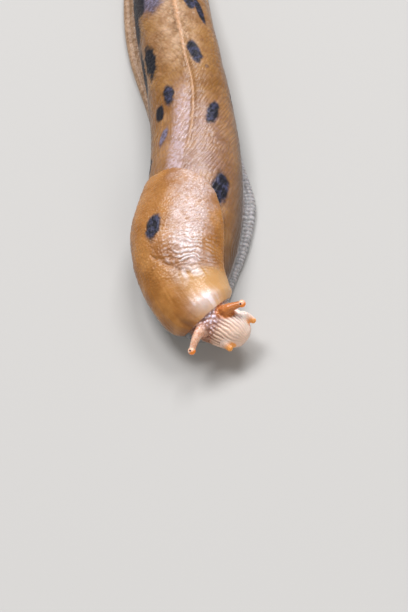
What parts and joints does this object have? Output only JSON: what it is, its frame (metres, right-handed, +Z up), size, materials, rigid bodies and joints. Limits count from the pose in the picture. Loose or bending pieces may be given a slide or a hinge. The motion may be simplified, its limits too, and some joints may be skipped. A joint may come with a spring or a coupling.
{
  "type": "banana slug",
  "caption": "Life-size crawling banana slug with a keeled tail, mottled back, smooth mantle, head turned to its left, four tentacles and a flat sole.",
  "frame": {"origin": "on the flat sole, under the middle of the mantle", "axes": "+Y towards the tail, the head towards -Y, +X the slug's left, +Z up"},
  "size_m": [0.0431, 0.1653, 0.0191],
  "materials": {
    "skin": "wet mottled skin",
    "mantle_skin": "wet smooth skin",
    "sole": "pale wet skin",
    "eye": "glossy skin"
  },
  "bodies": {
    "root": {"tail_tip": "skin", "tail": "skin", "back": "skin", "trunk": "skin", "foot_tail": "sole", "foot_middle": "sole", "foot_front": "sole", "mantle": "mantle_skin", "neck": "skin", "head": "skin", "upper_tentacle_left": "eye", "upper_tentacle_right": "eye", "lower_tentacle_left": "skin", "lower_tentacle_right": "skin", "eye_left": "eye", "eye_right": "eye"}
  },
  "joints": []
}
